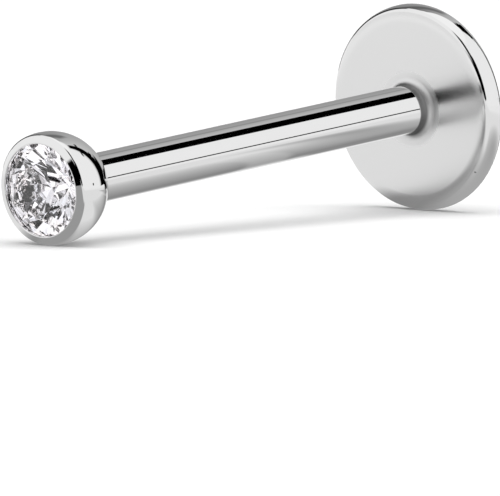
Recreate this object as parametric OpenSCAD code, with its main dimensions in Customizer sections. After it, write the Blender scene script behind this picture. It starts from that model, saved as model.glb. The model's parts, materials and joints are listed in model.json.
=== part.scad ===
// Labret stud: a straight post on a flat disc back, and a ball end that holds a round brilliant.
// It lies on its side, on the edge of the disc and the side of the ball, with the stone towards -X.
// The origin is on the surface that it lies on, under the middle of its length.
// Each piece is drawn upright, with the disc's back at height 0 and the stone on top, and laid down.

/* [Post] */
// Diameter of the piercing post (1.2 is 16 gauge)
post_d = 1.2; // [1:0.1:1.6]
// Wearable length, from the disc's face to the foot of the ball
wear_length = 12; // [5:0.5:16]
// Radius of the fillet where the post stands on the disc
fillet_r = 0.2; // [0.05:0.05:0.4]

/* [Disc back] */
// Diameter of the disc
disc_d = 5.1; // [4:0.1:8]
// Thickness of the disc
disc_t = 0.6; // [0.5:0.05:0.8]
// Radius of the soft shoulder round the disc's face
shoulder_r = 1.2; // [0.8:0.1:2]
// Slope of the shoulder where it meets the wall, in degrees
shoulder_slope = 12; // [6:1:16]
// Radius of the disc's bulging wall
wall_r = 0.77; // [0.7:0.01:1]
// Radius of the edge round the disc's back
back_edge_r = 0.2; // [0.1:0.05:0.2]

/* [Ball] */
// Wall of the ball outside the stone, across its middle
setting_wall = 0.225; // [0.2:0.025:0.6]
// Height of the lip's outer edge above the middle of the ball
lip_rise = 0.35; // [0.3:0.01:0.42]
// Radius of the lip's outer edge
lip_edge_r = 0.04; // [0.02:0.01:0.06]
// Radius of the lip's inner edge
lip_inner_r = 0.03; // [0.02:0.01:0.04]
// Slope of the lip from its inner edge down to its outer edge, in degrees
lip_slope = 24; // [16:1:30]
// How far the lip reaches in over the stone's edge
lip_grip = 0.025; // [0.01:0.005:0.04]

/* [Pin] */
// Wall of the post round its bore
bore_wall = 0.18; // [0.12:0.01:0.25]
// Length of the ball's pin
pin_l = 2.2; // [1:0.1:4]

/* [Stone] */
// Diameter of the stone
stone_d = 2.3; // [1.8:0.05:3]
// Width of the table across its corners
table_d = 1.28; // [1:0.02:1.5]
// Slope of the crown's main facets, in degrees
crown_angle = 34.5; // [30:0.5:37]
// Slope of the pavilion's main facets, in degrees
pavilion_angle = 40.75; // [39:0.25:43]
// Thickness of the girdle
girdle_t = 0.05; // [0.02:0.01:0.08]
// Depth of the girdle's upper edge below the lip's outer edge
girdle_drop = 0.09; // [0.08:0.01:0.14]

/* [Clearances] */
// Gap between the stone and its seat
stone_gap = 0.02; // [0.01:0.005:0.03]
// Gap between the post's end and the foot of the ball
seam_gap = 0.02; // [0.01:0.005:0.05]
// Gap between the pin and its bore, on the radius
pin_gap = 0.02; // [0.01:0.005:0.04]
// Free depth of the bore below the pin
bore_spare = 0.2; // [0.1:0.05:0.5]

/* [Hidden] */
$fn = 128;

// Radii
post_r = post_d / 2;
disc_r = disc_d / 2;
stone_r = stone_d / 2;
ball_r = stone_r + setting_wall;
bore_r = post_r - bore_wall;
pin_r = bore_r - pin_gap;

// Heights along the post
post_top = disc_t + wear_length - seam_gap;
foot_z = disc_t + wear_length;
ball_z = foot_z + sqrt(pow(ball_r, 2) - pow(post_r, 2));

// Centres of the arcs of the disc's back edge, its bulging wall and its shoulder. Each lean is an
// angle from straight out, turning up.
back_edge_at = [disc_r - back_edge_r, back_edge_r];
wall_at = [disc_r - wall_r, back_edge_r];
shoulder_lean = 90 - shoulder_slope;
edge_z = disc_t - shoulder_r + shoulder_r * sin(shoulder_lean);
wall_lean = asin((edge_z - back_edge_r) / wall_r);
shoulder_at = wall_at + wall_r * toward(wall_lean) - shoulder_r * toward(shoulder_lean);

// The ball runs into the lip's outer edge, and a bevel joins that to the lip's inner edge
lip_lean = asin((lip_rise - lip_edge_r) / (ball_r - lip_edge_r));
bevel_lean = 90 - lip_slope;
lip_edge_at = (ball_r - lip_edge_r) * toward(lip_lean);
bevel_outer = lip_edge_at + lip_edge_r * toward(bevel_lean);
bevel_inner_r = stone_r - lip_grip + lip_inner_r + lip_inner_r * sin(lip_slope);
bevel_inner = bevel_outer + (bevel_outer.x - bevel_inner_r) * [-1, tan(lip_slope)];
lip_inner_at = bevel_inner - lip_inner_r * toward(bevel_lean);

// Heights of the stone above the middle of the ball
girdle_top = lip_rise - girdle_drop;
girdle_low = girdle_top - girdle_t;
table_z = girdle_top + (stone_r - table_d / 2) * tan(crown_angle);
culet_z = girdle_low - stone_r * tan(pavilion_angle);

// The seat follows the stone at a gap, and turns in under the lip at this slope, in degrees
undercut_angle = 45;
seat_r = stone_r + stone_gap;
mouth_r = stone_r - lip_grip;
seat_drop = stone_gap / cos(pavilion_angle);
seat_high = girdle_top + stone_gap;
mouth_low = seat_high + (seat_r - mouth_r) * tan(undercut_angle);

// Lying down, the disc's wall and the ball touch the surface, so the post slopes to the ball
reach = ball_z - wall_at.y;
slope = acos((ball_r - wall_r) / norm([wall_at.x, reach])) - atan2(reach, wall_at.x);
lift = wall_at.x * cos(slope) + wall_at.y * sin(slope) + wall_r;

// Ends of the stud along X as it lies: the disc's back edge and the stone's table
disc_end = back_edge_at.x * sin(slope) + back_edge_r - back_edge_at.y * cos(slope);
stone_end = -(ball_z + table_z) * cos(slope) - table_d / 2 * sin(slope);

// A brilliant's facets: folds of symmetry, where the star facets end between table and girdle,
// and how far the lower halves reach from the girdle to the culet
folds = 8;
star_reach = 0.5;
lower_reach = 0.77;

fold = 360 / folds;
table_r = table_d / 2;
table_flat = table_r * cos(fold / 2);
star_r = table_flat + star_reach * (stone_r - table_flat);
star_z = table_z - (star_r * cos(fold / 2) - table_r) * tan(crown_angle);
tip_r = stone_r * (1 - lower_reach);
tip_z = culet_z + tip_r * cos(fold / 2) * tan(pavilion_angle);

// Indices of the stone's points, ring by ring
function table_at(i) = i % folds;
function star_at(i) = folds + (i + folds) % folds;
function upper_at(i) = 2 * folds + i % (2 * folds);
function lower_at(i) = 4 * folds + i % (2 * folds);
function tip_at(i) = 6 * folds + (i + folds) % folds;
culet_at = 7 * folds;

function ring(count, radius, height, turn) =
    [for (i = [0:count - 1])
        [radius * cos(turn + i * 360 / count), radius * sin(turn + i * 360 / count), height]];

function toward(lean) = [cos(lean), sin(lean)];

// Lays an upright piece down on the surface
module lay_down() {
    translate([-(disc_end + stone_end) / 2, 0, lift])
        rotate([0, -90 - slope, 0])
            children();
}

// Section of the disc, with its soft shoulder, bulging wall and rounded back edge
module disc_section() {
    square([wall_at.x, disc_t]);
    square([back_edge_at.x, back_edge_r]);
    translate(back_edge_at)
        circle(back_edge_r);
    intersection() {
        translate([0, back_edge_r])
            square([disc_r, disc_t - back_edge_r]);
        translate(wall_at)
            circle(wall_r);
        union() {
            square([shoulder_at.x, disc_t]);
            translate(shoulder_at)
                circle(shoulder_r);
        }
    }
}

// Section of the concave fillet round the foot of the post
module fillet_section() {
    translate([0, disc_t])
        difference() {
            square([post_r + fillet_r, fillet_r]);
            translate([post_r + fillet_r, fillet_r])
                circle(fillet_r);
        }
}

module labret_post() {
    color("silver")
        lay_down()
            rotate_extrude()
                difference() {
                    union() {
                        disc_section();
                        fillet_section();
                        square([post_r, post_top]);
                    }
                    translate([0, foot_z - pin_l - bore_spare])
                        square([bore_r, pin_l + bore_spare]);
                }
}

// Section of the ball with its rounded lip and its pin, about the middle of the ball
module ball_section() {
    intersection() {
        circle(ball_r);
        polygon([
            [0, foot_z - ball_z], [2 * ball_r, foot_z - ball_z], 2 * ball_r * toward(lip_lean), [0, 0]
        ]);
    }
    translate(lip_edge_at)
        circle(lip_edge_r);
    translate(lip_inner_at)
        circle(lip_inner_r);
    polygon([
        lip_edge_at, bevel_outer, bevel_inner, lip_inner_at, [mouth_r, lip_inner_at.y], [mouth_r, 0]
    ]);
    translate([0, foot_z - pin_l - ball_z])
        square([pin_r, pin_l + ball_z - foot_z]);
}

// Section of the seat: it follows the pavilion and girdle and turns in under the lip
module seat_section() {
    polygon([
        [0, culet_z - seat_drop],
        [tip_r, tip_z - seat_drop],
        [seat_r, girdle_low - seat_drop],
        [seat_r, seat_high],
        [mouth_r, mouth_low],
        [mouth_r, table_z],
        [0, table_z],
    ]);
}

module ball() {
    color("gainsboro")
        lay_down()
            translate([0, 0, ball_z])
                rotate_extrude()
                    difference() {
                        ball_section();
                        seat_section();
                    }
}

module stone() {
    color("aliceblue")
        lay_down()
            translate([0, 0, ball_z])
                polyhedron(
                    points = concat(
                        ring(folds, table_r, table_z, 0),
                        ring(folds, star_r, star_z, fold / 2),
                        ring(2 * folds, stone_r, girdle_top, 0),
                        ring(2 * folds, stone_r, girdle_low, 0),
                        ring(folds, tip_r, tip_z, fold / 2),
                        [[0, 0, culet_z]]
                    ),
                    faces = concat(
                        [[for (i = [folds - 1:-1:0]) table_at(i)]],
                        [for (i = [0:folds - 1]) [table_at(i), table_at(i + 1), star_at(i)]],
                        [for (i = [0:folds - 1])
                            [table_at(i), star_at(i), upper_at(2 * i), star_at(i - 1)]],
                        [for (i = [0:folds - 1], half = [0, 1])
                            [star_at(i), upper_at(2 * i + half + 1), upper_at(2 * i + half)]],
                        [for (i = [0:2 * folds - 1])
                            [upper_at(i), upper_at(i + 1), lower_at(i + 1), lower_at(i)]],
                        [for (i = [0:folds - 1], half = [0, 1])
                            [tip_at(i), lower_at(2 * i + half), lower_at(2 * i + half + 1)]],
                        [for (i = [0:folds - 1])
                            [culet_at, tip_at(i - 1), lower_at(2 * i), tip_at(i)]]
                    )
                );
}

labret_post();
ball();
stone();
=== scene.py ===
"""Labret stud: a steel ball that holds a round brilliant, on a straight post with a flat disc back.

Each piece is drawn upright, with the disc's back at height 0 and the stone on top, and is then laid
down where the frame has it. Lengths are in metres and angles in degrees.
"""

import json
import math
from collections import namedtuple

import bmesh
import bpy
from mathutils import Matrix, Vector


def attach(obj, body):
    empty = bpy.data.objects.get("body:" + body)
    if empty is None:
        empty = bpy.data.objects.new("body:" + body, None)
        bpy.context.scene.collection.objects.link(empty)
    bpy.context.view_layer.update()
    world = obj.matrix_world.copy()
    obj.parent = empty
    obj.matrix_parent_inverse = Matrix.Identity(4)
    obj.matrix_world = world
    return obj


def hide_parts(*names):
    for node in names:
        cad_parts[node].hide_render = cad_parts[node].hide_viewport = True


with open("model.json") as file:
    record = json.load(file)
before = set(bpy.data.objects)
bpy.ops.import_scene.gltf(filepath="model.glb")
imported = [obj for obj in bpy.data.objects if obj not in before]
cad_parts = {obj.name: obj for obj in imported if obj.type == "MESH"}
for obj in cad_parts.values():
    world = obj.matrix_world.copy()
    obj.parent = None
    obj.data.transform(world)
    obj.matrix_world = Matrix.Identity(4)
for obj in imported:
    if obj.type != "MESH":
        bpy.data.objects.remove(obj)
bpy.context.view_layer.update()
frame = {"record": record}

bl_info = {
    "name": "Labret Stud",
    "version": (1, 0, 0),
    "blender": (4, 5, 0),
    "location": "View3D > Sidebar > Labret",
    "description": "Makes a labret stud with a stone in its ball, and a small studio round it",
    "category": "Object",
}

MM = 0.001
BODY = "root"

MOUNTS = {mount["name"]: mount for mount in frame["record"]["mounts"]}
POST_MOUNT = MOUNTS["piercing_post"]
BACK_MOUNT = MOUNTS["disc_back"]
POST_AXIS = Vector(POST_MOUNT["axis"]).normalized()

# Steps round each turned piece, and along a quarter turn of its section
TURN_STEPS = 256
QUARTER_STEPS = 24
# Distance from a corner at which a straight stretch has one more ring, so that its shading stays flat
HOLD = 0.004 * MM
# A straight stretch shorter than this has no such rings
SHORTEST_HELD = 4 * HOLD
# A point of a section that is nearer to the axis than this is on it
ON_AXIS = HOLD / 10
# Edges that turn by more than this are sharp
SHARP_ANGLE = 30

# The photograph's frame, where the middle of the post is in it, and its scale there
PHOTO_W = 500
PHOTO_H = 496
POST_MIDDLE_X = 249.0
POST_MIDDLE_Y = 144.4
PIXELS_PER_METRE = 41.17 / MM

# The lamp over the stud
LAMP_WATTS = 0.4
LAMP_WIDTH = 300 * MM
LAMP_HEIGHT = 260 * MM
# Half the width of the floor
FLOOR_REACH = 3


def linear(hex_colour):
    """Turns an sRGB colour such as "d8d8d6" into linear red, green and blue."""
    channels = [int(hex_colour[i:i + 2], 16) / 255 for i in (0, 2, 4)]
    return tuple(c / 12.92 if c <= 0.04045 else ((c + 0.055) / 1.055) ** 2.4 for c in channels)


WHITE = (*linear("ffffff"), 1)
BLACK = (*linear("000000"), 1)


def length(name, description, millimetres):
    """A length that a user can set."""
    return bpy.props.FloatProperty(
        name=name, description=description, default=millimetres * MM,
        min=0, precision=5, subtype="DISTANCE", unit="LENGTH")


def angle(name, description, degrees):
    """An angle that a user can set."""
    return bpy.props.FloatProperty(
        name=name, description=description, default=math.radians(degrees),
        subtype="ANGLE", unit="ROTATION")


def share(name, description, value):
    """A share, from 0 to 1, that a user can set."""
    return bpy.props.FloatProperty(
        name=name, description=description, default=value, min=0, max=1, subtype="FACTOR")


def colour(name, description, hex_colour):
    """A colour that a user can set."""
    return bpy.props.FloatVectorProperty(
        name=name, description=description, default=linear(hex_colour),
        min=0, max=1, size=3, subtype="COLOR")


class LabretPostSettings(bpy.types.PropertyGroup):
    """Sizes of the post and its disc back"""

    post_d: length("Post", "Diameter of the post", 2 * POST_MOUNT["dims"]["r_mm"])
    wear_length: length(
        "Wearable length", "From the disc's face to the foot of the ball",
        POST_MOUNT["dims"]["length_mm"])
    fillet_r: length("Fillet", "Radius where the post stands on the disc", 0.2)
    disc_d: length("Disc", "Diameter of the disc", 5.1)
    disc_t: length("Disc thickness", "Thickness of the disc", 0.6)
    shoulder_r: length("Shoulder", "Radius of the soft shoulder round the disc's face", 1.2)
    shoulder_slope: angle("Shoulder slope", "Slope of the shoulder where it meets the edge", 12)
    edge_r: length("Edge", "Radius of the edge between the shoulder and the wall", 0.14)
    wall_r: length("Wall", "Radius of the disc's bulging wall", 0.77)
    back_edge_r: length("Back edge", "Radius round the disc's back", 0.2)
    bore_wall: length("Bore wall", "Wall of the post round the pin's bore", 0.18)
    bore_spare: length("Spare depth", "Free depth of the bore below the pin", 0.2)
    seam_gap: length("Seam", "Gap between the post's end and the foot of the ball", 0.02)


class LabretBallSettings(bpy.types.PropertyGroup):
    """Sizes of the ball that holds the stone"""

    setting_wall: length("Wall", "Wall of the ball outside the stone", 0.225)
    lip_rise: length("Lip rise", "Height of the lip's outer edge above the ball's middle", 0.35)
    lip_edge_r: length("Lip edge", "Radius of the lip's outer edge", 0.09)
    lip_inner_r: length("Lip inner edge", "Radius of the lip's inner edge", 0.03)
    lip_slope: angle("Lip slope", "Slope of the lip down to its outer edge", 24)
    lip_grip: length("Lip grip", "How far the lip reaches in over the stone", 0.025)
    pin_l: length("Pin", "Length of the ball's pin", 2.2)
    pin_gap: length("Pin gap", "Gap between the pin and its bore", 0.02)
    undercut: angle("Undercut", "Slope of the seat under the lip", 45)


class LabretStoneSettings(bpy.types.PropertyGroup):
    """Sizes and colours of the stone, and how it bends light"""

    stone_d: length("Stone", "Diameter of the stone", 2.3)
    table_d: length("Table", "Width of the table across its corners", 1.28)
    crown_angle: angle("Crown", "Slope of the crown's main facets", 34.5)
    pavilion_angle: angle("Pavilion", "Slope of the pavilion's main facets", 40.75)
    girdle_t: length("Girdle", "Thickness of the girdle", 0.05)
    girdle_drop: length("Girdle drop", "Depth of the girdle below the lip's outer edge", 0.09)
    star_reach: share("Star reach", "Where the star facets end, between table and girdle", 0.5)
    lower_reach: share("Lower reach", "How far the lower halves reach to the culet", 0.77)
    stone_gap: length("Stone gap", "Gap between the stone and its seat", 0.02)
    tint: colour("Tint", "Colour of the light that the stone lets through", "fcfcfe")
    cloud: colour("Cloud", "Colour that the faint cloud in the stone lets through", "f3f4f8")
    bending: bpy.props.FloatProperty(
        name="Bending", description="How strongly the stone bends light, as its index of refraction",
        default=1.8, min=1, max=4)
    silver: colour("Silver", "Colour of the silvering behind the stone", "fdfdfd")
    tarnish: colour("Tarnish", "Colour of the silvering where it is tarnished", "fbf9f9")


class LabretSteelSettings(bpy.types.PropertyGroup):
    """Colour and finish of the steel"""

    steel: colour("Steel", "Colour of the polished steel", "e6e6e6")
    polish: share("Polish", "Roughness of the polished steel", 0.03)
    satin: share("Satin", "Roughness of the disc's face", 0.2)
    # Grey of the painted shade in the dull ring at the post's foot
    painted_foot_shade: colour("Painted foot shade", "Colour of the dull ring at the foot of the post", "7c7c7c")
    shade_ring_rise: length("Shade ring height", "How far the dull ring climbs the post", 0.28)
    shade_ring_finish: share("Shade ring finish", "Roughness of the dull ring", 0.45)
    halo: share("Halo", "Roughness of the matt halo on the disc, round the foot of the post", 0.42)
    spot_colour: colour("Dark spot", "Colour of the small dark spot on the disc's face", "3a3a3a")


class LabretStudioSettings(bpy.types.PropertyGroup):
    """The camera's place and the tone of the studio"""

    heading: angle("Heading", "Way that the camera looks, from +X towards +Y", 41.23)
    elevation: angle("Elevation", "Height of the camera above the floor", 4.85)
    distance: length("Distance", "From the camera to the middle of the post", 500)
    floor: colour("Floor", "Colour of the floor", "f6f6f6")
    backdrop: colour("Backdrop", "Colour behind the floor", "f8f8f8")


def settings(name):
    """The user's settings of one kind."""
    return getattr(bpy.context.scene, "labret_" + name)


def placement():
    """The matrix that lays an upright piece down where the frame has it."""
    across = Vector((0, 1, 0))
    turn = Matrix((across.cross(POST_AXIS), across, POST_AXIS)).transposed().to_4x4()
    return Matrix.Translation(BACK_MOUNT["pos_m"]) @ turn


def ball_radius():
    """Radius of the ball."""
    return settings("stone").stone_d / 2 + settings("ball").setting_wall


def ball_height():
    """Height of the middle of the ball above the disc's back."""
    post = settings("post")
    foot = post.disc_t + post.wear_length
    return foot + math.sqrt(ball_radius() ** 2 - (post.post_d / 2) ** 2)


def stone_heights():
    """Heights of the girdle's upper and lower edge and of the culet."""
    ball, stone = settings("ball"), settings("stone")
    girdle_top = ball_height() + ball.lip_rise - stone.girdle_drop
    girdle_low = girdle_top - stone.girdle_t
    return girdle_top, girdle_low, girdle_low - stone.stone_d / 2 * math.tan(stone.pavilion_angle)


def on_circle(centre, radius, degrees):
    """The point (r, z) of a circle at an angle from straight out, turning up."""
    turn = math.radians(degrees)
    return centre[0] + radius * math.cos(turn), centre[1] + radius * math.sin(turn)


def arc(centre, radius, start, end):
    """Points (r, z) along an arc, between two angles from straight out, turning up."""
    steps = max(2, math.ceil(abs(end - start) / 90 * QUARTER_STEPS))
    return [on_circle(centre, radius, start + (end - start) * i / steps) for i in range(steps + 1)]


def straight(start, end):
    """Points (r, z) just inside both ends of a straight stretch, which keep its shading flat."""
    a, b = Vector(start), Vector(end)
    step = (b - a).normalized() * HOLD
    return [tuple(a + step), tuple(b - step)]


def joined(*stretches):
    """One section from points and stretches, with a straight held at both ends between them."""
    section = list(stretches[0])
    for stretch in stretches[1:]:
        if (Vector(section[-1]) - Vector(stretch[0])).length > SHORTEST_HELD:
            section += straight(section[-1], stretch[0])
        section += stretch
    return section


def turned(name, section):
    """A mesh turned round the upright axis from a section of points (r, z) that starts and ends on it."""
    bm = bmesh.new()
    rings = []
    for r, z in section:
        count = 1 if r < ON_AXIS else TURN_STEPS
        turns = [2 * math.pi * i / count for i in range(count)]
        rings.append([bm.verts.new((r * math.cos(turn), r * math.sin(turn), z)) for turn in turns])
    for low, high in zip(rings, rings[1:]):
        for i in range(TURN_STEPS):
            corners = [ring[k % len(ring)] for ring, k in ((low, i), (low, i + 1), (high, i + 1), (high, i))]
            # Beside the axis two of the corners are one
            bm.faces.new(list(dict.fromkeys(corners)))
    bmesh.ops.recalc_face_normals(bm, faces=bm.faces)
    mesh = bpy.data.meshes.new(name)
    bm.to_mesh(mesh)
    bm.free()
    mesh.shade_smooth()
    mesh.set_sharp_from_angle(angle=math.radians(SHARP_ANGLE))
    return mesh


def laid_down(mesh, material, node):
    """Shows a mesh in place of a node of the frame."""
    mesh.transform(placement())
    mesh.materials.append(material)
    piece = bpy.data.objects.new(mesh.name, mesh)
    bpy.context.scene.collection.objects.link(piece)
    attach(piece, BODY)
    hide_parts(node)
    return piece


def add_node(tree, kind, inputs=(), **own):
    """Adds a node, sets its own settings, and gives each input that is named a value or a link."""
    node = tree.nodes.new(kind)
    for name, value in own.items():
        setattr(node, name, value)
    for name, value in dict(inputs).items():
        if isinstance(value, bpy.types.NodeSocket):
            tree.links.new(value, node.inputs[name])
        else:
            node.inputs[name].default_value = value
    return node


def new_material(name):
    """A material with an empty tree, and that tree."""
    material = bpy.data.materials.new(name)
    material.use_nodes = True
    tree = material.node_tree
    tree.nodes.clear()
    return material, tree


def upright(tree):
    """The place on the stud as it stands on its disc, so that patterns can follow the post."""
    matrix = placement()
    return add_node(tree, "ShaderNodeMapping", {
        "Vector": add_node(tree, "ShaderNodeTexCoord").outputs["Object"],
        "Location": matrix.translation, "Rotation": matrix.to_euler()},
        vector_type="TEXTURE").outputs["Vector"]


# Hairlines of the last buffing: they are about 5 thousandths of a millimetre apart, too fine to show, so
# they are drawn with this gap, and each runs on for about this length
HAIR_GAP = 0.06 * MM
HAIR_RUN = 1.2 * MM


def hairline_gloss(tree, place):
    """Roughness of the mirror polish, which the hairlines make a little uneven."""
    polish = settings("steel").polish
    hair = add_node(tree, "ShaderNodeMapping", {
        "Vector": place, "Scale": (1 / HAIR_RUN, 1 / HAIR_RUN, 1 / HAIR_GAP)})
    lines = add_node(tree, "ShaderNodeTexNoise", {
        "Vector": hair.outputs["Vector"], "Scale": 1, "Detail": 3, "Roughness": 0.6})
    return add_node(tree, "ShaderNodeMapRange", {
        "Value": lines.outputs["Fac"], "From Min": 0.35, "From Max": 0.7,
        "To Min": polish * 0.6, "To Max": polish * 1.8}).outputs["Result"]


def polished_surgical_steel():
    """Surgical steel, turned, buffed with paste and then polished to a mirror.

    It reflects the studio sharply. The last buffing leaves hairlines round each piece, which show only
    as a faint unevenness of the gloss.
    """
    material, tree = new_material("polished_surgical_steel")
    shader = add_node(tree, "ShaderNodeBsdfPrincipled", {
        "Base Color": (*settings("steel").steel, 1), "Metallic": 1,
        "Roughness": hairline_gloss(tree, upright(tree))})
    add_node(tree, "ShaderNodeOutputMaterial", {"Surface": shader.outputs["BSDF"]})
    return material


# The dull ring at the post's foot is grey with painted shade where the post meets the disc. The grey sets in
# between the first two heights over the disc's face, the ring fades between the next two over its own
# height, and its end wanders by this much, in patches this wide
PAINTED_SHADE_START = (0.02 * MM, 0.1 * MM)
SHADE_RING_END = (0.08 * MM, 0.03 * MM)
SHADE_RING_WANDER = 0.08 * MM
SHADE_RING_PATCH = 0.5 * MM


def post_steel_with_painted_shade():
    """The post's surgical steel, polished to a mirror along its length and soldered to the disc.

    Round the foot is a dull ring that the polishing wheel couldn't reach, and its grey is painted shade
    where the post meets the disc. It ends a little unevenly just above the fillet, and blurs the streaks of
    light that run along the post.
    """
    steel, post = settings("steel"), settings("post")
    material, tree = new_material("surgical_steel_with_painted_shade")
    place = upright(tree)
    patches = add_node(tree, "ShaderNodeTexNoise", {
        "Vector": place, "Scale": 1 / SHADE_RING_PATCH, "Detail": 2}).outputs["Fac"]
    height = add_node(tree, "ShaderNodeSeparateXYZ", {"Vector": place}).outputs["Z"]
    uneven = add_node(tree, "ShaderNodeMath", {
        0: patches, 1: SHADE_RING_WANDER, 2: height}, operation="MULTIPLY_ADD").outputs[0]
    rim = post.disc_t + steel.shade_ring_rise
    dull = add_node(tree, "ShaderNodeMapRange", {
        "Value": uneven, "From Min": rim + SHADE_RING_END[0], "From Max": rim + SHADE_RING_END[1]},
        interpolation_type="SMOOTHSTEP").outputs["Result"]
    # The painted shade stops short of the fillet's foot, where it flares into the face
    above_fillet_foot = add_node(tree, "ShaderNodeMapRange", {
        "Value": height, "From Min": post.disc_t + PAINTED_SHADE_START[0],
        "From Max": post.disc_t + PAINTED_SHADE_START[1]}, interpolation_type="SMOOTHSTEP").outputs["Result"]
    # Where the ring is, the steel darkens to the grey of a painted shade
    painted_grey_mask = add_node(tree, "ShaderNodeMath", {0: dull, 1: above_fillet_foot}, operation="MULTIPLY").outputs[0]
    tone = add_node(tree, "ShaderNodeMix", {
        "Factor": painted_grey_mask, 6: (*steel.steel, 1), 7: (*steel.painted_foot_shade, 1)}, data_type="RGBA")
    finish = add_node(tree, "ShaderNodeMix", {
        "Factor": dull, "A": hairline_gloss(tree, place), "B": steel.shade_ring_finish})
    shader = add_node(tree, "ShaderNodeBsdfPrincipled", {
        "Base Color": tone.outputs[2], "Metallic": 1, "Roughness": finish.outputs["Result"]})
    add_node(tree, "ShaderNodeOutputMaterial", {"Surface": shader.outputs["BSDF"]})
    return material


# How far inside the disc's edge the satin begins, and where it is full
SATIN_START = (0.1 * MM, 0.25 * MM)
# The wheel's grain is about a hundredth of a millimetre, too fine to show, so it is drawn this coarse
SATIN_GRAIN = 0.03 * MM
# How far outside the post the matt halo begins, and where it is full
HALO_START = (0.4 * MM, 0.25 * MM)
# The back, up to this height, is rougher than the face by this factor
BACK_TOP = 0.01 * MM
BACK_COARSENESS = 2.2
# The one small dark spot on the disc's face: its place from the post's axis as the stud stands on its disc,
# the radii between which it darkens, and how far
SPOT_PLACE = (-1.474 * MM, -1.957 * MM)
SPOT_EDGE = (0.03 * MM, 0.01 * MM)
SPOT_DARKNESS = 0.75


def satin_faced_steel():
    """The disc's surgical steel: its rim is polished to a mirror, and its face is left satin.

    The face was rubbed with a fine wheel, so it blurs what it reflects, and shows a faint grain and one
    small dark spot. The satin ends just inside the rim, and the heat of soldering left a matt halo round the
    post's foot. The flat back, which the photograph doesn't show, is rubbed more coarsely.
    """
    steel, post = settings("steel"), settings("post")
    disc_r, post_r = post.disc_d / 2, post.post_d / 2
    material, tree = new_material("satin_faced_surgical_steel")
    place = upright(tree)
    split = add_node(tree, "ShaderNodeSeparateXYZ", {"Vector": place}).outputs
    across = add_node(tree, "ShaderNodeCombineXYZ", {"X": split["X"], "Y": split["Y"]}).outputs["Vector"]
    radius = add_node(tree, "ShaderNodeVectorMath", {0: across}, operation="LENGTH").outputs["Value"]
    inside = add_node(tree, "ShaderNodeMapRange", {
        "Value": radius, "From Min": disc_r - SATIN_START[0], "From Max": disc_r - SATIN_START[1]},
        interpolation_type="SMOOTHSTEP").outputs["Result"]
    front = add_node(tree, "ShaderNodeMath", {
        0: split["Z"], 1: post.disc_t / 2}, operation="GREATER_THAN").outputs[0]
    face = add_node(tree, "ShaderNodeMath", {0: inside, 1: front}, operation="MULTIPLY").outputs[0]
    grain = add_node(tree, "ShaderNodeTexNoise", {
        "Vector": place, "Scale": 1 / SATIN_GRAIN, "Detail": 4, "Roughness": 0.6}).outputs["Fac"]
    satin = add_node(tree, "ShaderNodeMapRange", {
        "Value": grain, "From Min": 0.3, "From Max": 0.7,
        "To Min": steel.satin * 0.85, "To Max": steel.satin * 1.2}).outputs["Result"]
    halo = add_node(tree, "ShaderNodeMapRange", {
        "Value": radius, "From Min": post_r + HALO_START[0], "From Max": post_r + HALO_START[1]},
        interpolation_type="SMOOTHSTEP").outputs["Result"]
    matt = add_node(tree, "ShaderNodeMix", {"Factor": halo, "A": satin, "B": steel.halo}).outputs["Result"]
    gloss = add_node(tree, "ShaderNodeMix", {
        "Factor": face, "A": steel.polish, "B": matt}).outputs["Result"]
    back = add_node(tree, "ShaderNodeMath", {
        0: split["Z"], 1: BACK_TOP}, operation="LESS_THAN").outputs[0]
    coarse = add_node(tree, "ShaderNodeMath", {
        0: satin, 1: BACK_COARSENESS}, operation="MULTIPLY").outputs[0]
    gloss = add_node(tree, "ShaderNodeMix", {"Factor": back, "A": gloss, "B": coarse}).outputs["Result"]
    # A small dark spot on the face, darkest at its middle
    off = add_node(tree, "ShaderNodeVectorMath", {
        0: across, 1: (*SPOT_PLACE, 0)}, operation="DISTANCE").outputs["Value"]
    spot_darkening = add_node(tree, "ShaderNodeMapRange", {
        "Value": off, "From Min": SPOT_EDGE[0], "From Max": SPOT_EDGE[1],
        "To Max": SPOT_DARKNESS}).outputs["Result"]
    spot_on_face = add_node(tree, "ShaderNodeMath", {0: spot_darkening, 1: front}, operation="MULTIPLY").outputs[0]
    tone = add_node(tree, "ShaderNodeMix", {
        "Factor": spot_on_face, 6: (*steel.steel, 1), 7: (*steel.spot_colour, 1)}, data_type="RGBA")
    shader = add_node(tree, "ShaderNodeBsdfPrincipled", {
        "Base Color": tone.outputs[2], "Metallic": 1, "Roughness": gloss})
    add_node(tree, "ShaderNodeOutputMaterial", {"Surface": shader.outputs["BSDF"]})
    return material


# Width of the clouds of tarnish on the silvering, and of those in the crystal
TARNISH_CLOUD = 0.4 * MM
CRYSTAL_CLOUD = 0.5 * MM
# The polishing lap's traces are under a thousandth of a millimetre, too fine to show, so they are drawn this
# coarse, and they roughen the facets by this much at most
LAP_TRACE = 0.03 * MM
LAP_ROUGHNESS = 0.02


def silvered_facets():
    """The silvering behind the stone's pavilion, as flat and bright as the facets that it covers.

    It keeps light from leaking into the cup, so the stone stays bright when it is seen from the side. A
    breath of tarnish, cloudy and hardly warm, tones some of the flashes down.
    """
    stone = settings("stone")
    material, tree = new_material("silvered_facets")
    breath = add_node(tree, "ShaderNodeTexNoise", {
        "Vector": upright(tree), "Scale": 1 / TARNISH_CLOUD, "Detail": 3}).outputs["Fac"]
    tarnish = add_node(tree, "ShaderNodeMapRange", {
        "Value": breath, "From Min": 0.45, "From Max": 0.65},
        interpolation_type="SMOOTHSTEP").outputs["Result"]
    tone = add_node(tree, "ShaderNodeMix", {
        "Factor": tarnish, 6: (*stone.silver, 1), 7: (*stone.tarnish, 1)}, data_type="RGBA")
    shader = add_node(tree, "ShaderNodeBsdfPrincipled", {
        "Base Color": tone.outputs[2], "Metallic": 1, "Roughness": 0})
    add_node(tree, "ShaderNodeOutputMaterial", {"Surface": shader.outputs["BSDF"]})
    return material


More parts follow.
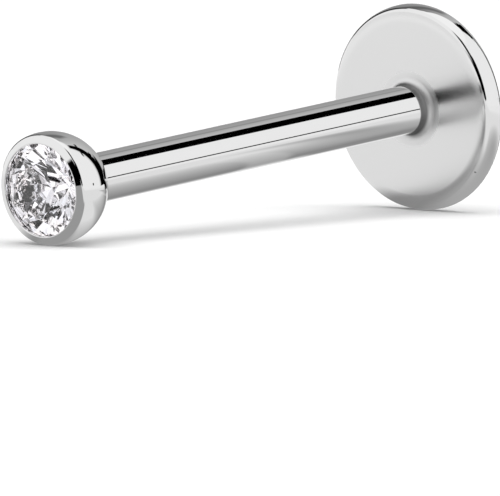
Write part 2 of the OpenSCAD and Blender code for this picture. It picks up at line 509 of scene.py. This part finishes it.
def cut_zirconia():
    """Cubic zirconia, cut and polished into flat facets.

    Its back facets throw most of the light back out as black and white. A faint cloud in the crystal and
    the traces of the polishing lap keep the flashes from being quite even. It bends light less than
    zirconia's 2.16 would, which keeps the flashes as large, and the dark ones as deep, as in the
    photograph.
    """
    stone = settings("stone")
    material, tree = new_material("cut_zirconia")
    place = upright(tree)
    cloud = add_node(tree, "ShaderNodeTexNoise", {
        "Vector": place, "Scale": 1 / CRYSTAL_CLOUD, "Detail": 2}).outputs["Fac"]
    clouded = add_node(tree, "ShaderNodeMapRange", {
        "Value": cloud, "From Min": 0.4, "From Max": 0.65},
        interpolation_type="SMOOTHSTEP").outputs["Result"]
    tone = add_node(tree, "ShaderNodeMix", {
        "Factor": clouded, 6: (*stone.tint, 1), 7: (*stone.cloud, 1)}, data_type="RGBA")
    traces = add_node(tree, "ShaderNodeTexNoise", {
        "Vector": place, "Scale": 1 / LAP_TRACE, "Detail": 2}).outputs["Fac"]
    gloss = add_node(tree, "ShaderNodeMapRange", {
        "Value": traces, "From Min": 0.5, "From Max": 0.8, "To Max": LAP_ROUGHNESS},
        interpolation_type="SMOOTHSTEP").outputs["Result"]
    shader = add_node(tree, "ShaderNodeBsdfPrincipled", {
        "Base Color": tone.outputs[2], "Roughness": gloss, "IOR": stone.bending, "Transmission Weight": 1})
    add_node(tree, "ShaderNodeOutputMaterial", {"Surface": shader.outputs["BSDF"]})
    return material


class LABRET_OT_post(bpy.types.Operator):
    """Turns the straight post, with the fillet at its foot and the bore for the ball's pin"""

    bl_idname = "labret.post"
    bl_label = "Post"

    def execute(self, context):
        post, ball = settings("post"), settings("ball")
        post_r = post.post_d / 2
        foot = post.disc_t + post.wear_length
        top = foot - post.seam_gap
        bore_r = post_r - post.bore_wall
        bore_end = foot - ball.pin_l - post.bore_spare
        fillet = (post_r + post.fillet_r, post.disc_t + post.fillet_r)
        # The post's foot is soldered into the disc
        root = post.disc_t / 2
        section = joined(
            [(0, root)],
            [(fillet[0], root)],
            arc(fillet, post.fillet_r, -90, -180),
            [(post_r, top)],
            [(bore_r, top)],
            [(bore_r, bore_end)],
            [(0, bore_end)])
        laid_down(turned("post", section), post_steel_with_painted_shade(), "labret_post")
        return {"FINISHED"}


class LABRET_OT_disc(bpy.types.Operator):
    """Turns the flat disc back, with its soft shoulder and bulging wall"""

    bl_idname = "labret.disc"
    bl_label = "Disc back"

    def execute(self, context):
        post = settings("post")
        disc_r = post.disc_d / 2
        # The wall, the edge and the shoulder run into each other without a crease
        shoulder_lean = 90 - math.degrees(post.shoulder_slope)
        inward = post.shoulder_r - post.edge_r
        edge_rise = (post.disc_t - post.back_edge_r - post.shoulder_r
                     + inward * math.sin(math.radians(shoulder_lean)))
        wall_lean = math.degrees(math.asin(edge_rise / (post.wall_r - post.edge_r)))
        wall = (disc_r - post.wall_r, post.back_edge_r)
        edge = on_circle(wall, post.wall_r - post.edge_r, wall_lean)
        shoulder = on_circle(edge, -inward, shoulder_lean)
        section = joined(
            [(0, 0)],
            arc((disc_r - post.back_edge_r, post.back_edge_r), post.back_edge_r, -90, 0),
            arc(wall, post.wall_r, 0, wall_lean)[1:],
            arc(edge, post.edge_r, wall_lean, shoulder_lean)[1:],
            arc(shoulder, post.shoulder_r, shoulder_lean, 90)[1:],
            [(0, post.disc_t)])
        disc = laid_down(turned("disc_back", section), satin_faced_steel(), "labret_post")
        # The photograph's post doesn't mirror the disc: its streaks run on to the fillet
        disc.visible_glossy = False
        return {"FINISHED"}


class LABRET_OT_ball(bpy.types.Operator):
    """Turns the ball, with its cup for the stone, its lip and its pin"""

    bl_idname = "labret.ball"
    bl_label = "Ball"

    def execute(self, context):
        post, ball, stone = settings("post"), settings("ball"), settings("stone")
        middle = ball_height()
        radius = ball_radius()
        post_r = post.post_d / 2
        stone_r = stone.stone_d / 2
        foot = post.disc_t + post.wear_length
        pin_r = post_r - post.bore_wall - ball.pin_gap
        foot_lean = -math.degrees(math.acos(post_r / radius))
        mouth_r = stone_r - ball.lip_grip
        # The lip's outer edge runs out of the ball, its bevel rises inwards, and its inner edge ends at
        # the mouth
        edge_middle_r = radius - ball.lip_edge_r
        lip_lean = math.degrees(math.asin((ball.lip_rise - ball.lip_edge_r) / edge_middle_r))
        bevel_lean = 90 - math.degrees(ball.lip_slope)
        edge = on_circle((0, middle), edge_middle_r, lip_lean)
        bevel_end_r = mouth_r + ball.lip_inner_r + ball.lip_inner_r * math.sin(ball.lip_slope)
        outer = on_circle(edge, ball.lip_edge_r, bevel_lean)
        bevel_end_z = outer[1] + (outer[0] - bevel_end_r) * math.tan(ball.lip_slope)
        inner = (mouth_r + ball.lip_inner_r, bevel_end_z - ball.lip_inner_r * math.cos(ball.lip_slope))
        girdle_top, girdle_low, culet = stone_heights()
        seat_r = stone_r + stone.stone_gap
        seat_high = girdle_top + stone.stone_gap
        seat_drop = stone.stone_gap / math.cos(stone.pavilion_angle)
        tip_r, tip_z = lower_tip(stone, culet)
        section = joined(
            [(0, foot - ball.pin_l)],
            [(pin_r, foot - ball.pin_l)],
            [(pin_r, foot)],
            arc((0, middle), radius, foot_lean, lip_lean),
            arc(edge, ball.lip_edge_r, lip_lean, bevel_lean)[1:],
            arc(inner, ball.lip_inner_r, bevel_lean, 180),
            [(mouth_r, seat_high + (seat_r - mouth_r) * math.tan(ball.undercut))],
            [(seat_r, seat_high)],
            [(seat_r, girdle_low - seat_drop)],
            [(tip_r, tip_z - seat_drop)],
            [(0, culet - seat_drop)])
        laid_down(turned("ball_setting", section), polished_surgical_steel(), "ball")
        return {"FINISHED"}


# A brilliant's facets repeat this many times round the stone
FOLDS = 8
FOLD = 2 * math.pi / FOLDS
# Steps round the girdle, which is ground round
GIRDLE_STEPS = 128
# Facets whose normal points down by more than this belong to the pavilion, and are silvered
SILVERED_FROM = 0.1


def lower_tip(stone, culet):
    """Radius and height of the tips where two lower halves end on the pavilion's main facets."""
    tip_r = stone.stone_d / 2 * (1 - stone.lower_reach)
    return tip_r, culet + tip_r * math.cos(FOLD / 2) * math.tan(stone.pavilion_angle)


def around(radius, height, turn):
    """The point at a radius and height, turned round the upright axis."""
    return Vector((radius * math.cos(turn), radius * math.sin(turn), height))


def cut_facet(bm, first, second, third):
    """Cuts the stone along the plane through three points and closes it with a flat facet."""
    normal = (second - first).cross(third - first).normalized()
    # What is cut off is on the side away from the stone's axis
    if normal.dot(first - Vector((0, 0, first.z * 0.5 + second.z * 0.5))) < 0:
        normal.negate()
    geom = bm.verts[:] + bm.edges[:] + bm.faces[:]
    cut = bmesh.ops.bisect_plane(
        bm, geom=geom, plane_co=first, plane_no=normal, clear_outer=True, dist=1e-9)
    edges = [e for e in cut["geom_cut"] if isinstance(e, bmesh.types.BMEdge)]
    bmesh.ops.edgenet_fill(bm, edges=edges)


class LABRET_OT_stone(bpy.types.Operator):
    """Cuts the round brilliant out of a plain blank, facet by facet"""

    bl_idname = "labret.stone"
    bl_label = "Stone"

    def execute(self, context):
        stone = settings("stone")
        stone_r, table_r = stone.stone_d / 2, stone.table_d / 2
        girdle_top, girdle_low, culet_z = stone_heights()
        table_z = girdle_top + (stone_r - table_r) * math.tan(stone.crown_angle)
        table_flat = table_r * math.cos(FOLD / 2)
        star_r = table_flat + stone.star_reach * (stone_r - table_flat)
        star_z = table_z - (star_r * math.cos(FOLD / 2) - table_r) * math.tan(stone.crown_angle)
        tip_r, tip_z = lower_tip(stone, culet_z)
        bm = bmesh.new()
        bmesh.ops.create_cone(
            bm, cap_ends=True, segments=GIRDLE_STEPS, radius1=stone_r, radius2=stone_r,
            depth=table_z - culet_z, matrix=Matrix.Translation((0, 0, (table_z + culet_z) / 2)))
        half = FOLD / 2
        culet = Vector((0, 0, culet_z))
        for i in range(FOLDS):
            turn = i * FOLD
            sideways = Vector((-math.sin(turn), math.cos(turn), 0)) * table_r
            # Crown: a main facet, a star facet and two upper halves
            corner = around(table_r, table_z, turn)
            next_corner = around(table_r, table_z, turn + FOLD)
            star = around(star_r, star_z, turn + half)
            main_low = around(stone_r, girdle_top, turn)
            next_low = around(stone_r, girdle_top, turn + FOLD)
            side = around(stone_r, girdle_top, turn + half)
            cut_facet(bm, main_low, corner, corner + sideways)
            cut_facet(bm, star, corner, next_corner)
            for edge in (main_low, next_low):
                cut_facet(bm, star, edge, side)
            # Pavilion: a main facet and two lower halves
            main_high = around(stone_r, girdle_low, turn)
            next_high = around(stone_r, girdle_low, turn + FOLD)
            tip = around(tip_r, tip_z, turn + half)
            low_side = around(stone_r, girdle_low, turn + half)
            cut_facet(bm, main_high, culet, main_high + sideways)
            for edge in (main_high, next_high):
                cut_facet(bm, tip, edge, low_side)
        bmesh.ops.recalc_face_normals(bm, faces=bm.faces)
        mesh = bpy.data.meshes.new("brilliant")
        bm.to_mesh(mesh)
        bm.free()
        mesh.materials.append(cut_zirconia())
        # The second material is the silvering, which goes on as the stone is laid down
        for face in mesh.polygons:
            face.material_index = 1 if face.normal.z < -SILVERED_FROM else 0
        laid_down(mesh, silvered_facets(), "stone")
        return {"FINISHED"}


# Soft panels of the studio, seen from the stud: from left to right in degrees from straight behind it, as
# the camera sees it, and from low to high above the horizon. The glow goes from the left to the right edge,
# and each panel hangs in front of those before it. A panel without glow is black cloth.
Panel = namedtuple("Panel", "name left right low high left_glow right_glow soft")
PANELS = (
    Panel("tent", -180, 180, -90, 90, 1.02, 1.02, 2),
    Panel("ceiling", -180, 180, 64, 90, 1.1, 1.1, 4),
    Panel("left_wall", -130, -70, -90, 12, 0.9, 0.9, 10),
    Panel("grey_wall", -40, 62, -90, 62, 0.08, 0.8, 3),
    Panel("left_cloth", -44, -18, -8, 50, 0.03, 0.03, 3),
    Panel("left_cloth_top", -58, -42, 10, 50, 0.03, 0.03, 3),
    Panel("crease_cloth", -24, 14, 37, 51, 0.12, 0.2, 8),
    Panel("right_cloth", 43.5, 58, -90, 61, 0, 0, 2),
    Panel("right_cloth_foot", 34, 55.5, -90, 22, 0, 0, 6),
    Panel("camera_cloth", -180, -134, -90, 16, 0, 0, 3),
    Panel("camera_cloth_top", -180, -150, 12, 60, 0, 0, 6),
    Panel("camera_cloth_end", 168, 180, -90, 40, 0, 0, 6),
)
# Two strips of cloth that bend round the stud where the post mirrors them along its whole length
STRIPS = (
    Panel("band", 36.2, 65.5, 30, 60, 0, 0, 0.8),
    Panel("line", 70, 95, 3.1, 6.3, 0, 0, 0.5),
)
# How far the strips reach to either side of what the post mirrors, as a cosine, before and after they
# fade out
STRIP_REACH = (0.016, 0.023)
# What the stone gathers through its crown: lamps close round the camera, with black gaps between them
STONE_PANELS = (
    Panel("lamps", -180, 180, -90, 90, 1.45, 1.45, 2),
    Panel("dim_lamp", -150, -124, -40, 58, 0.95, 1.15, 8),
    Panel("camera_gap", -170, -154, -90, 60, 0, 0, 2),
    Panel("left_gap", -111, -99, -40, 50, 0, 0, 2),
    Panel("low_gap", -150, -120, -62, -44, 0, 0, 2),
    Panel("high_gap", -150, -100, 60, 75, 0, 0, 2),
    Panel("edge_gap", -80, -50, -90, 26, 0.03, 0.03, 2),
    Panel("right_gap", 114, 146, -20, 50, 0.02, 0.02, 2),
)
# The stone's lamps are a little lilac to the left of the first of these headings, and a little pink to the
# right of the second
STONE_TINTS = ("f2f2f6", "f8f5f4")
TINT_HEADINGS = (-150, -110)


def studio_directions(studio):
    """Which way the camera looks along the floor, and which way is to its right."""
    forward = Vector((math.cos(studio.heading), math.sin(studio.heading), 0))
    right = Vector((math.sin(studio.heading), -math.cos(studio.heading), 0))
    return forward, right


def camera_look(studio):
    """The direction in which the camera looks."""
    forward = studio_directions(studio)[0]
    return forward * math.cos(studio.elevation) - Vector((0, 0, math.sin(studio.elevation)))


def covered(tree, side, rise, panel):
    """How far a panel covers a direction, from 0 to 1, with soft edges."""
    cover = 1.0
    # A panel that reaches the end of the scale, 180 degrees or 90, has no edge there
    edges = (
        (side, panel.left, 1, 180), (side, panel.right, -1, 180),
        (rise, panel.low, 1, 90), (rise, panel.high, -1, 90))
    for value, edge, sign, end in edges:
        if abs(edge) < end:
            fade = sign * panel.soft / 2
            within = add_node(tree, "ShaderNodeMapRange", {
                "Value": value, "From Min": edge - fade, "From Max": edge + fade},
                interpolation_type="SMOOTHSTEP").outputs["Result"]
            cover = add_node(tree, "ShaderNodeMath", {
                0: cover, 1: within}, operation="MULTIPLY").outputs[0]
    return cover


def panel_glow(tree, side, rise, panels):
    """How strongly the panels glow in a direction, each hung in front of those before it."""
    total = 0.0
    for panel in panels:
        glow = add_node(tree, "ShaderNodeMapRange", {
            "Value": side, "From Min": panel.left, "From Max": panel.right,
            "To Min": panel.left_glow, "To Max": panel.right_glow}).outputs["Result"]
        cover = covered(tree, side, rise, panel)
        total = add_node(tree, "ShaderNodeMix", {"Factor": cover, "A": total, "B": glow}).outputs["Result"]
    return total


def behind_strips(tree, way, side, rise, look, glow):
    """The glow with the black strips in front of it, which follow the cone that the post mirrors."""
    lean = add_node(tree, "ShaderNodeVectorMath", {
        0: way, 1: POST_AXIS}, operation="DOT_PRODUCT").outputs["Value"]
    off = add_node(tree, "ShaderNodeMath", {
        0: lean, 1: look.dot(POST_AXIS)}, operation="SUBTRACT").outputs[0]
    off = add_node(tree, "ShaderNodeMath", {0: off}, operation="ABSOLUTE").outputs[0]
    near = add_node(tree, "ShaderNodeMapRange", {
        "Value": off, "From Min": STRIP_REACH[1], "From Max": STRIP_REACH[0]},
        interpolation_type="SMOOTHSTEP").outputs["Result"]
    for strip in STRIPS:
        cover = add_node(tree, "ShaderNodeMath", {
            0: near, 1: covered(tree, side, rise, strip)}, operation="MULTIPLY").outputs[0]
        glow = add_node(tree, "ShaderNodeMix", {"Factor": cover, "A": glow, "B": 0}).outputs["Result"]
    return glow


def light_studio(studio):
    """The world: soft panels that light the stud, and a plain pale backdrop that the camera sees."""
    forward, right = studio_directions(studio)
    world = bpy.data.worlds.new("studio")
    world.use_nodes = True
    tree = world.node_tree
    tree.nodes.clear()
    way = add_node(tree, "ShaderNodeTexCoord").outputs["Generated"]
    ahead = add_node(tree, "ShaderNodeVectorMath", {0: way, 1: forward}, operation="DOT_PRODUCT")
    aside = add_node(tree, "ShaderNodeVectorMath", {0: way, 1: right}, operation="DOT_PRODUCT")
    turn = add_node(tree, "ShaderNodeMath", {
        0: aside.outputs["Value"], 1: ahead.outputs["Value"]}, operation="ARCTAN2").outputs[0]
    side = add_node(tree, "ShaderNodeMath", {0: turn}, operation="DEGREES").outputs[0]
    height = add_node(tree, "ShaderNodeSeparateXYZ", {"Vector": way}).outputs["Z"]
    climb = add_node(tree, "ShaderNodeMath", {0: height}, operation="ARCSINE").outputs[0]
    rise = add_node(tree, "ShaderNodeMath", {0: climb}, operation="DEGREES").outputs[0]
    glow = behind_strips(tree, way, side, rise, camera_look(studio), panel_glow(tree, side, rise, PANELS))
    panels = add_node(tree, "ShaderNodeBackground", {"Color": WHITE, "Strength": glow})
    pink = add_node(tree, "ShaderNodeMapRange", {
        "Value": side, "From Min": TINT_HEADINGS[0], "From Max": TINT_HEADINGS[1]},
        interpolation_type="SMOOTHSTEP").outputs["Result"]
    tint = add_node(tree, "ShaderNodeMix", {
        "Factor": pink, 6: (*linear(STONE_TINTS[0]), 1), 7: (*linear(STONE_TINTS[1]), 1)},
        data_type="RGBA")
    lamps = add_node(tree, "ShaderNodeBackground", {
        "Color": tint.outputs[2], "Strength": panel_glow(tree, side, rise, STONE_PANELS)})
    rays = add_node(tree, "ShaderNodeLightPath")
    panels = add_node(tree, "ShaderNodeMixShader", {
        0: rays.outputs["Is Transmission Ray"], 1: panels.outputs["Background"],
        2: lamps.outputs["Background"]})
    backdrop = add_node(tree, "ShaderNodeBackground", {"Color": (*studio.backdrop, 1), "Strength": 1})
    both = add_node(tree, "ShaderNodeMixShader", {
        0: rays.outputs["Is Camera Ray"], 1: panels.outputs["Shader"], 2: backdrop.outputs["Background"]})
    add_node(tree, "ShaderNodeOutputWorld", {"Surface": both.outputs["Shader"]})
    bpy.context.scene.world = world


def lay_floor(studio):
    """A large matt floor that the stud lies on."""
    bm = bmesh.new()
    bmesh.ops.create_grid(bm, x_segments=1, y_segments=1, size=FLOOR_REACH)
    mesh = bpy.data.meshes.new("floor")
    bm.to_mesh(mesh)
    bm.free()
    material, tree = new_material("matt_floor")
    shader = add_node(tree, "ShaderNodeBsdfPrincipled", {
        "Base Color": (*studio.floor, 1), "Roughness": 0.9, "Specular IOR Level": 0})
    add_node(tree, "ShaderNodeOutputMaterial", {"Surface": shader.outputs["BSDF"]})
    mesh.materials.append(material)
    floor = bpy.data.objects.new("floor", mesh)
    floor.visible_glossy = False
    floor.visible_transmission = False
    bpy.context.scene.collection.objects.link(floor)


# The table top that the steel mirrors: its corners in millimetres
TABLE_TOP = ((-500, -500, 0.01), (500, -500, 0.01), (500, 500, 0.01), (-500, 500, 0.01))
# Black cloths that show only in what the stud reflects, likewise
CARDS = {
    "lip_cloth": ((-19.5, -0.8, 0.02), (-500, -15, 0.02), (-500, -95, 0.02), (-19.5, -4, 0.02)),
    "disc_flag": ((12.2, -3.4, 13.3), (14.4, -3.4, 12.3), (14.4, -0.5, 12.3), (12.2, -0.5, 13.3)),
    "camera_floor_cloth": ((-30, -12, 0.02), (-500, -95, 0.02), (-500, -470, 0.02), (-30, -28, 0.02)),
    "far_cloth": ((10.5, 0.2, 0.02), (11.5, 3.2, 0.02), (500, 140, 0.02), (500, -30, 0.02)),
}
# A black ribbon beside the disc's rim, from the top down: its two edges, in millimetres
RIM_RIBBON = (
    ((9.10, -0.90, 9.20), (8.95, -1.60, 9.20)),
    ((9.16, -1.23, 8.80), (9.05, -2.10, 8.80)),
    ((9.53, -1.30, 8.40), (9.42, -2.40, 8.40)),
    ((9.89, -1.99, 7.98), (9.73, -2.90, 7.98)),
)


def show_in_reflections(name, corners, faces, material):
    """A card that only shows in reflections: the camera doesn't see it, nor does it shade the floor."""
    mesh = bpy.data.meshes.new(name)
    mesh.from_pydata([Vector(corner) * MM for corner in corners], [], faces)
    mesh.materials.append(material)
    card = bpy.data.objects.new(name, mesh)
    card.visible_camera = False
    card.visible_diffuse = False
    card.visible_shadow = False
    card.visible_transmission = False
    bpy.context.scene.collection.objects.link(card)


# Soft steps of the table's shade along x or y: where each starts and ends in millimetres, and its results
TABLE_STEPS = {
    # The post's shade is narrow beside the ball and wider from there on. It is weaker short of the disc, and
    # under the disc it reaches further to the far side.
    "width": ("X", -5.5, -4, -1.5 * MM, -3.8 * MM),
    "weaker_from": ("X", 1.6, 2.4, 0, 1),
    "weaker_to": ("X", 4.2, 3.4, 0, 1),
    "far_shift": ("X", 4.6, 5.6, 0, 0.7 * MM),
    # The ball's shade runs away from it to the left
    "ball_far": ("Y", 0.7, 0.1, 0, 1),
    "ball_near": ("Y", -4, -3, 0, 1),
    "ball_end": ("X", -6.4, -6.8, 0, 1),
}
# Glow in the core of the post's shade, plain and where it is weaker, and in the ball's and the disc's
CORE_GLOW = (0.3, 0.45)
BALL_GLOW = 0.38
DISC_GLOW = 0.45
# The far edge of the post's shade
FAR_EDGE = (0.3 * MM, 1.8 * MM)
# The table glows this much up to the first distance from the stud, and fully from the second one on
NEAR_GLOW = 0.9
NEAR_EDGE = (18 * MM, 40 * MM)
# The disc's shade is an oval that runs away from its foot towards the camera's right
DISC_SHADE_PLACE = (8.3 * MM, -3.6 * MM, 0)
DISC_SHADE_TURN = math.radians(21)
DISC_SHADE_SIZE = (3.6 * MM, 7 * MM, 1)


def shaded_table_top():
    """The table as the steel reflects it: pale, with soft shade under the post, the ball and the disc."""
    material, tree = new_material("shaded_table_top")
    place = add_node(tree, "ShaderNodeTexCoord").outputs["Object"]
    split = add_node(tree, "ShaderNodeSeparateXYZ", {"Vector": place}).outputs
    step = {}
    for name, (axis, start, end, low, high) in TABLE_STEPS.items():
        step[name] = add_node(tree, "ShaderNodeMapRange", {
            "Value": split[axis], "From Min": start * MM, "From Max": end * MM,
            "To Min": low, "To Max": high}, interpolation_type="SMOOTHSTEP").outputs["Result"]
    weaker = add_node(tree, "ShaderNodeMath", {
        0: step["weaker_from"], 1: step["weaker_to"]}, operation="MULTIPLY").outputs[0]
    core = add_node(tree, "ShaderNodeMapRange", {
        "Value": weaker, "To Min": CORE_GLOW[0], "To Max": CORE_GLOW[1]},
        interpolation_type="SMOOTHSTEP").outputs["Result"]
    near = add_node(tree, "ShaderNodeMath", {0: split["Y"], 1: step["width"]}, operation="DIVIDE").outputs[0]
    past = add_node(tree, "ShaderNodeMath", {
        0: split["Y"], 1: step["far_shift"]}, operation="SUBTRACT").outputs[0]
    far = add_node(tree, "ShaderNodeMapRange", {
        "Value": past, "From Min": FAR_EDGE[0], "From Max": FAR_EDGE[1]},
        interpolation_type="SMOOTHSTEP").outputs["Result"]
    pale = add_node(tree, "ShaderNodeMath", {
        0: near, 1: far}, operation="MAXIMUM", use_clamp=True).outputs[0]
    distance = add_node(tree, "ShaderNodeVectorMath", {0: place}, operation="LENGTH").outputs["Value"]
    bright = add_node(tree, "ShaderNodeMapRange", {
        "Value": distance, "From Min": NEAR_EDGE[0], "From Max": NEAR_EDGE[1], "To Min": NEAR_GLOW},
        interpolation_type="SMOOTHSTEP").outputs["Result"]
    glow = add_node(tree, "ShaderNodeMapRange", {
        "Value": pale, "To Min": core, "To Max": bright}).outputs["Result"]
    ball = add_node(tree, "ShaderNodeMath", {
        0: step["ball_far"], 1: step["ball_near"]}, operation="MULTIPLY").outputs[0]
    ball = add_node(tree, "ShaderNodeMath", {0: ball, 1: step["ball_end"]}, operation="MULTIPLY").outputs[0]
    glow = add_node(tree, "ShaderNodeMix", {"Factor": ball, "A": glow, "B": BALL_GLOW}).outputs["Result"]
    oval = add_node(tree, "ShaderNodeMapping", {
        "Vector": place, "Location": DISC_SHADE_PLACE, "Rotation": (0, 0, DISC_SHADE_TURN),
        "Scale": DISC_SHADE_SIZE}, vector_type="TEXTURE").outputs["Vector"]
    off = add_node(tree, "ShaderNodeVectorMath", {0: oval}, operation="LENGTH").outputs["Value"]
    deep = add_node(tree, "ShaderNodeMath", {0: glow, 1: DISC_GLOW}, operation="MINIMUM").outputs[0]
    glow = add_node(tree, "ShaderNodeMapRange", {
        "Value": off, "To Min": deep, "To Max": glow}, interpolation_type="SMOOTHSTEP").outputs["Result"]
    shine = add_node(tree, "ShaderNodeEmission", {"Color": WHITE, "Strength": glow})
    add_node(tree, "ShaderNodeOutputMaterial", {"Surface": shine.outputs["Emission"]})
    return material


def black_cloth():
    """Cloth that gives the steel nothing to reflect."""
    material, tree = new_material("black_cloth")
    shine = add_node(tree, "ShaderNodeEmission", {"Color": BLACK, "Strength": 0})
    add_node(tree, "ShaderNodeOutputMaterial", {"Surface": shine.outputs["Emission"]})
    return material


def lay_cards():
    """The table top and the black cloths on and over it."""
    show_in_reflections("table_top", TABLE_TOP, [range(4)], shaded_table_top())
    black = black_cloth()
    for name, corners in CARDS.items():
        show_in_reflections(name, corners, [range(4)], black)
    faces = [(2 * i, 2 * i + 1, 2 * i + 3, 2 * i + 2) for i in range(len(RIM_RIBBON) - 1)]
    show_in_reflections("rim_ribbon", [corner for pair in RIM_RIBBON for corner in pair], faces, black)


def hang_lamp():
    """A large soft lamp over the stud, which lights the floor and doesn't show in the steel."""
    data = bpy.data.lights.new("soft_lamp", "AREA")
    data.shape = "SQUARE"
    data.size = LAMP_WIDTH
    data.energy = LAMP_WATTS
    lamp = bpy.data.objects.new("soft_lamp", data)
    lamp.location = (0, 0, LAMP_HEIGHT)
    lamp.visible_glossy = False
    lamp.visible_camera = False
    lamp.visible_transmission = False
    bpy.context.scene.collection.objects.link(lamp)


def aim_camera(studio):
    """A long lens at the photograph's angle, with the middle of the post where the photograph has it."""
    post = settings("post")
    right = studio_directions(studio)[1]
    look = camera_look(studio)
    up = right.cross(look)
    centre = placement() @ Vector((0, 0, post.disc_t + post.wear_length / 2))
    centre += right * (PHOTO_W / 2 - POST_MIDDLE_X) / PIXELS_PER_METRE
    centre -= up * (PHOTO_H / 2 - POST_MIDDLE_Y) / PIXELS_PER_METRE
    data = bpy.data.cameras.new("camera")
    data.lens = data.sensor_width * studio.distance / (PHOTO_W / PIXELS_PER_METRE)
    data.clip_start = 0.01
    data.clip_end = 10
    camera = bpy.data.objects.new("camera", data)
    camera.matrix_world = Matrix.Translation(centre - look * studio.distance) @ Matrix(
        (right, up, -look)).transposed().to_4x4()
    bpy.context.scene.collection.objects.link(camera)
    bpy.context.scene.camera = camera


class LABRET_OT_stage(bpy.types.Operator):
    """Lays the floor, lights the studio and aims the camera"""

    bl_idname = "labret.stage"
    bl_label = "Stage"

    def execute(self, context):
        studio = settings("studio")
        lay_floor(studio)
        lay_cards()
        hang_lamp()
        light_studio(studio)
        aim_camera(studio)
        context.scene.view_settings.view_transform = "Standard"
        # Light in the stone turns back and forth many times before it comes out
        context.scene.cycles.max_bounces = 24
        context.scene.cycles.glossy_bounces = 20
        context.scene.cycles.transmission_bounces = 20
        return {"FINISHED"}


SETTINGS = {
    "post": LabretPostSettings,
    "ball": LabretBallSettings,
    "stone": LabretStoneSettings,
    "steel": LabretSteelSettings,
    "studio": LabretStudioSettings,
}
OPERATORS = (LABRET_OT_post, LABRET_OT_disc, LABRET_OT_ball, LABRET_OT_stone, LABRET_OT_stage)


class LABRET_PT_panel(bpy.types.Panel):
    """Lists the labret stud's pieces and its stage"""

    bl_label = "Labret Stud"
    bl_space_type = "VIEW_3D"
    bl_region_type = "UI"
    bl_category = "Labret"

    def draw(self, context):
        for operator in OPERATORS:
            self.layout.operator(operator.bl_idname)


CLASSES = (*SETTINGS.values(), *OPERATORS, LABRET_PT_panel)


def register():
    """Adds the classes and the scene's settings."""
    for cls in CLASSES:
        bpy.utils.register_class(cls)
    for name, group in SETTINGS.items():
        setattr(bpy.types.Scene, "labret_" + name, bpy.props.PointerProperty(type=group))


def unregister():
    """Takes them away again."""
    for name in SETTINGS:
        delattr(bpy.types.Scene, "labret_" + name)
    for cls in reversed(CLASSES):
        bpy.utils.unregister_class(cls)


def main():
    """Makes the stud and its stage."""
    register()
    bpy.ops.labret.post()
    bpy.ops.labret.disc()
    bpy.ops.labret.ball()
    bpy.ops.labret.stone()
    bpy.ops.labret.stage()


if __name__ == "__main__":
    main()
